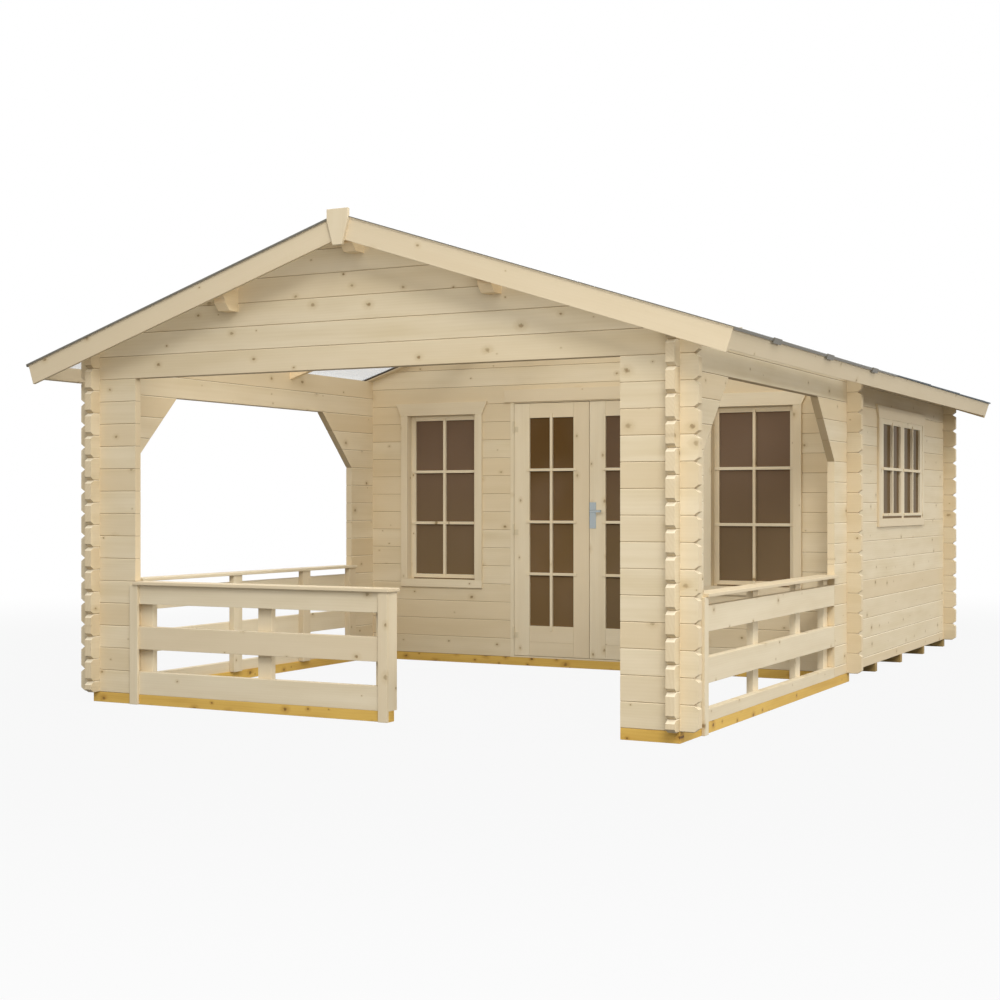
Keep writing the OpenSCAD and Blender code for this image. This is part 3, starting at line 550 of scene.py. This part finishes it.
class Piece:
    """Boards gathered into one mesh, each with its own grain coordinates and tone."""

    def __init__(self, name, body="cabin", slot="trim_wood", material="trim", nodes=()):
        self.name = name
        self.body = body
        self.slot = slot
        self.material = material
        self.nodes = nodes
        self.verts = []
        self.faces = []
        self.grain = []
        self.tone = []

    def prism(self, outline, origin, u, v, thick, along="u", edge=EDGE, segments=2, tone=None):
        """A board: an outline in the plane of u and v, made thick along a vector, edges rounded."""
        mesh = bmesh.new()
        low = [mesh.verts.new(origin + u * a + v * b) for a, b in outline]
        high = [mesh.verts.new(vert.co + thick) for vert in low]
        count = len(outline)
        mesh.faces.new(low)
        mesh.faces.new(list(reversed(high)))
        for i in range(count):
            j = (i + 1) % count
            mesh.faces.new([low[j], low[i], high[i], high[j]])
        bmesh.ops.recalc_face_normals(mesh, faces=mesh.faces[:])
        if edge > 0:
            bmesh.ops.bevel(mesh, geom=mesh.edges[:], offset=edge, segments=segments, profile=0.6,
                            affect="EDGES", clamp_overlap=True)
        self.gather(mesh, origin, u, v, thick.normalized(), along, tone)
        mesh.free()

    def gather(self, mesh, origin, u, v, w, along, set_tone):
        start = len(self.verts)
        offset = Vector((RNG.uniform(0, 60), RNG.uniform(0, 9), RNG.uniform(-0.02, 0.02)))
        tone = RNG.random()
        if set_tone is not None:
            tone = set_tone
        mesh.verts.index_update()
        axes = {"u": u, "v": v, "w": w}
        span = {}
        for key, axis in axes.items():
            places = [vert.co.dot(axis) for vert in mesh.verts]
            span[key] = max(places) - min(places)
        wide, thin = sorted((key for key in axes if key != along), key=lambda key: -span[key])
        for vert in mesh.verts:
            at = vert.co - origin
            local = Vector([at.dot(axes[key]) for key in (along, wide, thin)])
            self.verts.append(vert.co.copy())
            self.grain.append(local + offset)
            self.tone.append(tone)
        for face in mesh.faces:
            self.faces.append([start + vert.index for vert in face.verts])

    def box(self, low, high, along="x", edge=EDGE):
        """A board between two corners, its grain along one axis and its wide side found by itself."""
        corners = list(zip(low, high))
        origin = Vector([min(pair) for pair in corners])
        size = dict(zip("xyz", Vector([max(pair) for pair in corners]) - origin))
        wide, thin = sorted((key for key in "xyz" if key != along), key=lambda key: -size[key])
        outline = [(0, 0), (size[along], 0), (size[along], size[wide]), (0, size[wide])]
        self.prism(outline, origin, AXES[along], AXES[wide], AXES[thin] * size[thin], "u", edge)

    def make(self):
        mesh = bpy.data.meshes.new(self.name)
        mesh.from_pydata(self.verts, [], self.faces)
        grain = mesh.attributes.new("grain", "FLOAT_VECTOR", "POINT")
        grain.data.foreach_set("vector", [c for vec in self.grain for c in vec])
        tone = mesh.attributes.new("tone", "FLOAT", "POINT")
        tone.data.foreach_set("value", self.tone)
        mesh.materials.append(MATERIALS[self.material])
        mesh.update()
        made = bpy.data.objects.new(self.name, mesh)
        bpy.context.scene.collection.objects.link(made)
        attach(made, self.body)
        if self.nodes:
            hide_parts(*self.nodes)
        return made


def side_point(side, y, depth, z):
    """A point of a side wall: depth runs inwards from its outer face."""
    return (side * (HALF_W - depth), y, z)


def front_point(x, depth, z):
    """A point of the front wall: depth runs inwards from its front face."""
    return (x, FRONT_Y + depth, z)


def mid_point(x, depth, z):
    """A point of the middle wall: depth runs inwards from its front face."""
    return (x, MID_Y + depth, z)


# Foundation and floor
def make_foundation():
    beams = Piece("foundation_beams", slot="base_wood", material="base",
                  nodes=("front_base", "side_bases", "mid_base"))
    rail_end = RAIL_END_X + TRIM_T
    beams.box((-HALF_W, FRONT_Y, 0), (rail_end, FRONT_Y + BASE_W, BASE_H))
    beams.box((STUB_X, FRONT_Y, 0), (HALF_W, FRONT_Y + BASE_W, BASE_H))
    for side in (-1, 1):
        beams.box((side * HALF_W, FRONT_Y + BASE_W, 0),
                  (side * (HALF_W - BASE_W), MID_Y, BASE_H), "y")
    beams.box((-HALF_W, MID_Y, 0), (HALF_W, MID_Y + BASE_W, BASE_H))
    beams.make()
    joists = Piece("joist_beams", slot="joist_wood", material="joist", nodes=("floor_joists",))
    spacing = (BACK_Y - MID_Y - BASE_W) / JOISTS
    for i in range(1, JOISTS + 1):
        at = MID_Y + i * spacing
        joists.box((-HALF_W, at, 0), (HALF_W, at + BASE_W, BASE_H))
    joists.make()
    floor = Piece("floor_boards", nodes=("room_floor",))
    width = 2 * (HALF_W - LOG_T) / FLOOR_BOARDS
    for i in range(FLOOR_BOARDS):
        at = -HALF_W + LOG_T + i * width
        floor.box((at, MID_Y + LOG_T, BASE_H), (at + width, BACK_Y - LOG_T, BASE_H + FLOOR_T), "y")
    floor.make()


# Roof
def slope_axes(side):
    down = Vector((side * math.cos(PITCH), 0, -math.sin(PITCH)))
    up = Vector((side * math.sin(PITCH), 0, math.cos(PITCH)))
    return down, up


def slope_outline(low, high, start, end):
    """Outline on the slope, cut plumb at the ridge where start is none and square at its end."""
    ridge_low = -low * math.tan(PITCH) if start is None else start
    ridge_high = -high * math.tan(PITCH) if start is None else start
    return [(ridge_low, low), (end, low), (end, high), (ridge_high, high)]


def make_roof_boards():
    width = (BOARDS_BACK_Y - ROOM_ROOF_Y) / ROOF_BOARDS
    outline = slope_outline(LAY_GAP, BOARD_T, None, BOARDS_END - LAY_GAP)
    for side, name in SIDES:
        piece = Piece(name + "_roof_planks", nodes=(name + "_roof_boards",))
        down, up = slope_axes(side)
        for i in range(ROOF_BOARDS):
            origin = Vector((0, ROOM_ROOF_Y + i * width, ROOF_RIDGE_Z))
            piece.prism(outline, origin, down, up, Y * width, "u", ROOF_BOARD_EDGE, 1)
        piece.make()


def make_roof_edges():
    outline = slope_outline(BOARD_T - BARGE_W, BOARD_T, None, SLOPE_END)
    for side, name in SIDES:
        down, up = slope_axes(side)
        barges = Piece(name + "_barges", nodes=(name + "_barge_boards",))
        for y in (ROOF_FRONT_Y, BOARDS_BACK_Y):
            origin = Vector((0, y, ROOF_RIDGE_Z))
            barges.prism(outline, origin, down, up, Y * BARGE_T, tone=BARGE_TONE)
        barges.make()
    eaves = Piece("eave_trims", nodes=("eave_boards",))
    joint_y = BOARDS_BACK_Y - EAVE_JOINT
    for side, _ in SIDES:
        down, up = slope_axes(side)
        outline = slope_outline(BOARD_T - EAVE_W[side], BOARD_T, BOARDS_END, SLOPE_END)
        for low, high in ((BOARDS_FRONT_Y, joint_y), (joint_y, BOARDS_BACK_Y)):
            origin = Vector((0, low, ROOF_RIDGE_Z))
            eaves.prism(outline, origin, down, up, Y * (high - low), "w", tone=EAVE_TONE)
    eaves.make()


def make_ridge_blocks():
    piece = Piece("ridge_caps", nodes=("ridge_blocks",))
    top = ROOF_RIDGE_Z + (BOARD_T + 2 * FELT_T) * math.cos(PITCH) + BLOCK["rise"]
    half, foot = BLOCK["w"] / 2, BLOCK["foot"] / 2
    outline = [(-half, 0), (-half, -BLOCK["straight"]), (-foot, -BLOCK["h"]),
               (foot, -BLOCK["h"]), (half, -BLOCK["straight"]), (half, 0)]
    for y in (ROOF_FRONT_Y - BLOCK["t"], ROOF_BACK_Y):
        piece.prism(outline, Vector((0, y, top)), X, Z, Y * BLOCK["t"], "v")
    piece.make()


def slope_strip(piece, side, outline, low, high, along):
    """A thin strip of edging on one slope, between two places along the ridge."""
    down, up = slope_axes(side)
    origin = Vector((0, low, ROOF_RIDGE_Z))
    piece.prism(outline, origin, down, up, Y * (high - low), along, EDGING_EDGE, 1)


def make_sheet_edges():
    """Edging along the front and the eave of the porch sheets, with a clip at each lap."""
    end = SHEET_END + EDGING_T
    eave = slope_outline(EAVE_EDGING_FOOT, EDGING_TOP, SHEET_END, end)
    room = slope_outline(ROOM_EDGING_FOOT, EDGING_TOP, SHEET_END, end)
    clip = slope_outline(CLIP["foot"], CLIP["top"], SHEET_END, SHEET_END + CLIP["t"])
    for side, name in SIDES:
        piece = Piece(name + "_sheet_edging", slot="clear_sheet", material="sheet_edge")
        slope_strip(piece, side, eave, SHEET_FRONT_Y, LAPS_Y[-1], "w")
        slope_strip(piece, side, room, LAPS_Y[-1], ROOM_ROOF_Y, "w")
        front = slope_outline(FRONT_EDGING_FOOT[side], EDGING_TOP, None, SHEET_END)
        slope_strip(piece, side, front, SHEET_FRONT_Y - EDGING_T, SHEET_FRONT_Y, "u")
        for lap in LAPS_Y:
            slope_strip(piece, side, clip, lap - LAP_W / 2, lap + LAP_W / 2, "w")
        piece.make()


def make_felt_folds():
    """Felt turned down over the front end of the room's roof boards, between the battens."""
    middle = SIDE_BATTEN_X / math.cos(PITCH)
    spans = ((BATTEN_CLEAR, middle - BATTEN_CLEAR), (middle + BATTEN_CLEAR, BOARDS_END - LAY_GAP))
    origin = Vector((0, ROOM_ROOF_Y - FOLD_T, ROOF_RIDGE_Z))
    for side, name in SIDES:
        piece = Piece(name + "_felt_fold", slot="felt", material="seal")
        down, up = slope_axes(side)
        for start, end in spans:
            outline = slope_outline(BOARD_T - FOLD_H, BOARD_T, start, end)
            piece.prism(outline, origin, down, up, Y * FOLD_T, "u", FOLD_EDGE, 1)
        piece.make()


# Railings
def make_railing(name, node, point, plan):
    """point maps a place along the railing, a depth and a height to the part's frame."""
    piece = Piece(name, nodes=(node,))
    along = "x" if point(1, 0, 0)[0] != point(0, 0, 0)[0] else "y"
    low, high = plan["span"]
    cap_foot = BASE_H + UNDER_CAP
    for foot, top in plan["rails"]:
        piece.box(point(low, 0, BASE_H + foot), point(high, LOG_T, BASE_H + top), along)
    for share in plan["posts"]:
        at = low + share * (high - low - POST_W)
        piece.box(point(at, LOG_T, BASE_H), point(at + POST_W, RAIL_DEPTH, cap_foot), "z")
    piece.box(point(low, -CAP_LIP - TRIM_T, cap_foot),
              point(plan["cap_end"], RAIL_DEPTH + CAP_LIP, BASE_H + RAIL_TOP), along, CAP_EDGE)
    for at in plan["trims"]:
        piece.box(point(at, -TRIM_T, 0), point(at + TRIM_W, 0, cap_foot), "z")
    if plan["end_board"]:
        piece.box(point(high, 0, BASE_H), point(high + TRIM_T, RAIL_DEPTH, cap_foot), "z")
    piece.make()


def make_railings():
    end = RAIL_END_X + TRIM_T
    make_railing("front_rail_boards", "front_railing", front_point, {
        "span": (-STUB_X, RAIL_END_X), "posts": FRONT_POSTS,
        "rails": ((0, LOG_H), (2 * LOG_H, 3 * LOG_H), (4 * LOG_H, UNDER_CAP)),
        "trims": (-STUB_X - TRIM_W / 2, end - TRIM_W), "cap_end": end + CAP_LIP, "end_board": True})
    half = LOG_H / 2
    plan = {
        "span": (FRONT_POST_Y, REAR_POST_Y), "posts": SIDE_POSTS,
        "rails": ((0, half), (half + LOG_H, half + 2 * LOG_H), (half + 3 * LOG_H, half + 4 * LOG_H)),
        "trims": (FRONT_POST_Y - TRIM_W / 2,), "cap_end": REAR_POST_Y, "end_board": False}
    for side, name in SIDES:
        make_railing(name + "_rail_boards", name + "_railing", partial(side_point, side), plan)


# Windows and doors, drawn in a wall: a along it, d inwards from its outer face, z above the ground
def wall_axes(point):
    start = Vector(point(0, 0, 0))
    return Vector(point(1, 0, 0)) - start, Vector(point(0, 1, 0)) - start


def wall_box(piece, point, low, high, along, edge=EDGE):
    axis = along
    if along == "a":
        axis = "x" if abs(wall_axes(point)[0].x) > 0.5 else "y"
    piece.box(point(*low), point(*high), axis, edge)


def header(piece, point, a, z, wide, flare):
    u, d = wall_axes(point)
    half = wide / 2
    outline = [(-half, 0), (half, 0), (half + flare, HEADER_H), (-half - flare, HEADER_H)]
    piece.prism(outline, Vector(point(a, -CASING_T, z)), u, Z, d * CASING_T)


def window_frame(piece, point, a, plan):
    """Liner in the opening, casing boards round it and the flared header."""
    z, high, half = plan["z"], plan["high"], plan["wide"] / 2
    liner = half + LINER_T
    casing = half + CASING_W
    for low, top in ((-liner, -half), (half, liner)):
        wall_box(piece, point, (a + low, 0, z), (a + top, LINER_DEPTH, z + high), "z")
    for low, top in ((z - LINER_T, z), (z + high, z + high + LINER_T)):
        wall_box(piece, point, (a - liner, 0, low), (a + liner, LINER_DEPTH, top), "a")
    for low, top in ((-casing, -half), (half, casing)):
        wall_box(piece, point, (a + low, -CASING_T, z), (a + top, 0, z + high), "z")
    wall_box(piece, point, (a - casing, -CASING_T, z - CASING_W), (a + casing, 0, z), "a")
    header(piece, point, a, z + high, 2 * casing, HEADER_FLARE)


def window_light(pieces, point, span, plan, stiles):
    """One light: its sash, its bars, and the drip strip over a dark strip of painted shade for the gap
    at its foot.
    """
    sash, bars, gap_shades = pieces
    start, end = span
    z, high, front = plan["z"], plan["high"], plan["front"]
    back = front + SASH_T
    inner = (start + stiles[0], end - stiles[1])
    for low, top in ((start, inner[0]), (inner[1], end)):
        wall_box(sash, point, (low, front, z), (top, back, z + high), "z")
    for low, top in ((z, z + SASH_W), (z + high - SASH_W, z + high)):
        wall_box(sash, point, (inner[0], front, low), (inner[1], back, top), "a")
    pane = (sum(inner) / 2, z + SASH_W, (inner[1] - inner[0]) / 2, high - 2 * SASH_W, plan["rows"])
    lights(bars, point, pane, (front, back), SASH_BARS)
    drip = (start + DRIP_INSET * stiles[0], end - DRIP_INSET * stiles[1])
    foot = z + plan["gap"]
    wall_box(bars, point, (drip[0], front - DRIP_PROUD, foot), (drip[1], front, foot + DRIP_H), "a")
    # Painted shadow: a dark strip on the sash face for the shaded gap under the sash
    wall_box(gap_shades, point, (drip[0], front - GAP_SHADE_PROUD, z + GAP_SHADE_PROUD), (drip[1], front, foot),
             "a", 0.0)


def lights(bars, point, pane, faces, kind):
    """Bars of a pane: strips before and behind the glass, the front ones lapping the frame."""
    a, foot, half, high, rows = pane
    bar = kind["w"] / 2
    glass_front = (faces[0] + faces[1] - GLASS_T) / 2
    glass_back = glass_front + GLASS_T
    front = faces[0] - BAR_PROUD
    heights = [foot + high * i / rows for i in range(1, rows)]
    for start, end in ((front, glass_front), (glass_back, faces[1])):
        for at in heights:
            wall_box(bars, point, (a - half, start, at - bar), (a + half, end, at + bar), "a")
        wall_box(bars, point, (a - bar, start + BAR_STEP, foot), (a + bar, end, foot + high), "z")
    reach = half + kind["side_lap"]
    for at in heights:
        for low, top in ((-reach, -half), (half, reach)):
            wall_box(bars, point, (a + low, front, at - bar), (a + top, faces[0], at + bar), "a")
    lap = kind["end_lap"]
    for low, top in ((foot - lap, foot), (foot + high, foot + high + lap)):
        wall_box(bars, point, (a - bar, front + BAR_STEP, low), (a + bar, faces[0], top), "z")


def make_window_set(name, plan, places):
    """All windows of one kind; each place is a map into its wall and the window's middle."""
    frames = Piece(name + "_window_casings", nodes=(name + "_window_frames",))
    pieces = (Piece(name + "_window_sash_boards", nodes=(name + "_window_sashes",)),
              Piece(name + "_window_bars"),
              Piece(name + "_window_gap_shade", material="sash_gap_shade"))
    width = plan["wide"] / len(plan["stiles"])
    for point, middle in places:
        window_frame(frames, point, middle, plan)
        start = middle - plan["wide"] / 2
        for i, stiles in enumerate(plan["stiles"]):
            span = (start + i * width, start + (i + 1) * width)
            window_light(pieces, point, span, plan, stiles)
    for piece in (frames, *pieces):
        piece.make()


def make_windows():
    make_window_set("porch", PORCH_WINDOW, [(mid_point, side * PORCH_WINDOW_X) for side, _ in SIDES])
    make_window_set("side", SIDE_WINDOW,
                    [(partial(side_point, side), SIDE_WINDOW_Y) for side, _ in SIDES])


def make_door_frame():
    """Jambs and head, stops behind the leaves, threshold and header board."""
    piece = Piece("door_frame_boards", nodes=("door_frame",))
    half = FRAME_HALF_W
    foot, top = BASE_H, BASE_H + FRAME_TOP
    sill = foot + THRESHOLD_H
    for side, _ in SIDES:
        wall_box(piece, mid_point, (side * half, 0, foot),
                 (side * (half + JAMB_T), LOG_T, top + JAMB_T), "z")
        wall_box(piece, mid_point, (side * (half - STOP_W), STOP_FRONT, sill),
                 (side * half, LOG_T, top), "z", STOP_EDGE)
    wall_box(piece, mid_point, (-half, 0, top), (half, LOG_T, top + JAMB_T), "a")
    wall_box(piece, mid_point, (-half, 0, foot), (half, LOG_T, sill), "a")
    wall_box(piece, mid_point, (-half + STOP_W, STOP_FRONT, top - STOP_W),
             (half - STOP_W, LOG_T, top), "a", STOP_EDGE)
    header(piece, mid_point, 0, top + CASING_REVEAL, 2 * (DOOR_HALF_W + HEADER_REACH), 0)
    piece.make()


def make_leaves():
    foot, top = BASE_H + LEAF_FOOT, BASE_H + LEAF_FOOT + LEAF_H
    stile = (LEAF_W - LEAF_GLASS_W) / 2
    low, high = LEAF_X, LEAF_X + LEAF_W
    glass_foot = foot + LEAF_RAIL_H
    glass_top = glass_foot + LEAF_GLASS_H
    split = BASE_H + LEAF_SPLIT
    stiles = ((low - MEETING_LIP, low + stile), (high - stile, high + LEAF_LIP))
    rails = ((foot - LEAF_LIP, split), (split, glass_foot), (glass_top, top + LEAF_LIP))
    for side, name in SIDES:
        leaf = Piece(name + "_leaf_boards", body=name + "_leaf", nodes=(name + "_door",))
        bars = Piece(name + "_leaf_bars", body=name + "_leaf")
        for start, end in stiles:
            wall_box(leaf, mid_point, (side * start, 0, foot - LEAF_LIP),
                     (side * end, LEAF_T, top + LEAF_LIP), "z")
        for start, end in rails:
            wall_box(leaf, mid_point, (side * (low + stile), 0, start),
                     (side * (high - stile), LEAF_T, end), "a")
        pane = (side * (low + high) / 2, glass_foot, LEAF_GLASS_W / 2, LEAF_GLASS_H, LEAF_ROWS)
        lights(bars, mid_point, pane, (0, LEAF_T), LEAF_BARS)
        leaf.make()
        bars.make()


def dress_nodes():
    """Materials of the solids that stay in view."""
    looks = {
        "front_logs": ("front_left_wall", "front_right_wall", "front_gable", "mid_left_wall",
                       "mid_right_wall", "mid_gable", "back_wall"),
        "side_logs": ("left_porch_wall", "right_porch_wall", "left_wall", "right_wall",
                      "left_wall_plate", "right_wall_plate"),
        "purlins": ("ridge_purlin", "side_purlins", "purlin_corbels", "sheet_battens"),
        "felt": ("left_roof_felt", "right_roof_felt"),
        "window_glass": ("porch_window_glass",),
        "side_glass": ("side_window_glass",),
        "left_glass": ("left_door_glass",),
        "right_glass": ("right_door_glass",),
        "sheet": ("left_porch_sheets", "right_porch_sheets"),
        "zinc": ("frame_hinges", "left_hinges", "right_hinges"),
        "steel": ("door_handle",),
    }
    for look, nodes in looks.items():
        for node in nodes:
            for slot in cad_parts[node].material_slots:
                slot.material = MATERIALS[look]


# Camera, light and floor
def make_camera():
    data = bpy.data.cameras.new("camera")
    data.sensor_width = CAMERA["sensor"]
    data.lens = CAMERA["lens"]
    data.shift_y = CAMERA["shift_y"]
    camera = bpy.data.objects.new("camera", data)
    camera.location = CAMERA["place"]
    camera.rotation_euler = (math.radians(90), 0, CAMERA["turn"])
    bpy.context.scene.collection.objects.link(camera)
    bpy.context.scene.camera = camera


def seen_rays(graph):
    """One for rays that show the background: from the camera, in gloss and through glass."""
    rays = graph.node("ShaderNodeLightPath").outputs
    share = graph.math("MAXIMUM", rays["Is Camera Ray"], rays["Is Glossy Ray"])
    return graph.math("MAXIMUM", share, rays["Is Transmission Ray"])


def make_world():
    """Soft light from all round, behind which the background is plain white."""
    world = bpy.data.worlds.new("studio")
    bpy.context.scene.world = world
    world.use_nodes = True
    graph = Graph(world.node_tree, "ShaderNodeOutputWorld")
    soft = graph.node("ShaderNodeBackground", SKY).outputs[0]
    white = graph.node("ShaderNodeBackground", {"Color": WHITE}).outputs[0]
    mixed = graph.node("ShaderNodeMixShader", {0: seen_rays(graph), 1: soft, 2: white}).outputs[0]
    graph.put(graph.out.inputs[0], mixed)


def make_sun(name, strength, angle, toward):
    data = bpy.data.lights.new(name, "SUN")
    data.energy = strength
    data.angle = math.radians(angle)
    sun = bpy.data.objects.new(name, data)
    sun.rotation_euler = Vector(toward).to_track_quat("-Z", "Y").to_euler()
    bpy.context.scene.collection.objects.link(sun)


def make_lamp(name, power, size, place, target):
    data = bpy.data.lights.new(name, "AREA")
    data.shape = "ELLIPSE"
    data.size, data.size_y = size
    data.energy = power
    lamp = bpy.data.objects.new(name, data)
    lamp.location = place
    lamp.rotation_euler = (Vector(target) - Vector(place)).to_track_quat("-Z", "Y").to_euler()
    lamp.visible_camera = False
    lamp.visible_glossy = False
    bpy.context.scene.collection.objects.link(lamp)


def floor_material():
    """Pale ground that fades into the white background but keeps a soft shadow."""
    sh = Shader("pale_floor")
    place = sh.node("ShaderNodeTexCoord").outputs["Object"]
    far = sh.fade(sh.vector("LENGTH", place), **GROUND_FADE)
    speck = sh.noise(place, 3.0, 2.0)
    colour = sh.mix(speck, srgb(116, 116, 116), srgb(122, 122, 122))
    plain = sh.node("ShaderNodeBsdfDiffuse", {"Color": colour}).outputs[0]
    white = sh.node("ShaderNodeEmission", {"Color": WHITE}).outputs[0]
    share = sh.math("MULTIPLY", seen_rays(sh), far)
    mixed = sh.node("ShaderNodeMixShader", {0: share, 1: plain, 2: white}).outputs[0]
    sh.put(sh.out.inputs[0], mixed)
    return sh.material


def make_floor():
    reach = GROUND_REACH
    mesh = bpy.data.meshes.new("floor")
    corners = [(-reach, -reach, 0), (reach, -reach, 0), (reach, reach, 0), (-reach, reach, 0)]
    mesh.from_pydata(corners, [], [(0, 1, 2, 3)])
    mesh.materials.append(floor_material())
    floor = bpy.data.objects.new("floor", mesh)
    bpy.context.scene.collection.objects.link(floor)


make_camera()
make_world()
make_lamp("key_lamp", power=830, size=(5.0, 5.0), place=(7.5, -12.0, 9.5), target=(0.6, -1.0, 1.2))
make_lamp("side_lamp", power=450, size=(5.0, 2.0), place=(14.0, 1.0, 4.0), target=(1.9, 0.8, 1.2))
make_lamp("fill_lamp", power=100, size=(3.0, 3.0), place=(3.2, -8.8, 2.6), target=(0.6, -2.0, 1.2))
make_lamp("porch_lamp", power=25, size=(2.4, 0.4), place=(0.1, -2.85, 2.30), target=(0.1, 0.0, 1.5))
make_sun("top_sun", strength=1.0, angle=50, toward=(-0.55, 0.25, -1.0))
make_sun("back_sun", strength=0.55, angle=40, toward=(0.5, -0.7, -0.6))
make_floor()
dress_nodes()
make_foundation()
make_roof_boards()
make_roof_edges()
make_ridge_blocks()
make_sheet_edges()
make_felt_folds()
make_railings()
make_windows()
make_door_frame()
make_leaves()

bpy.context.scene.view_settings.view_transform = "Standard"
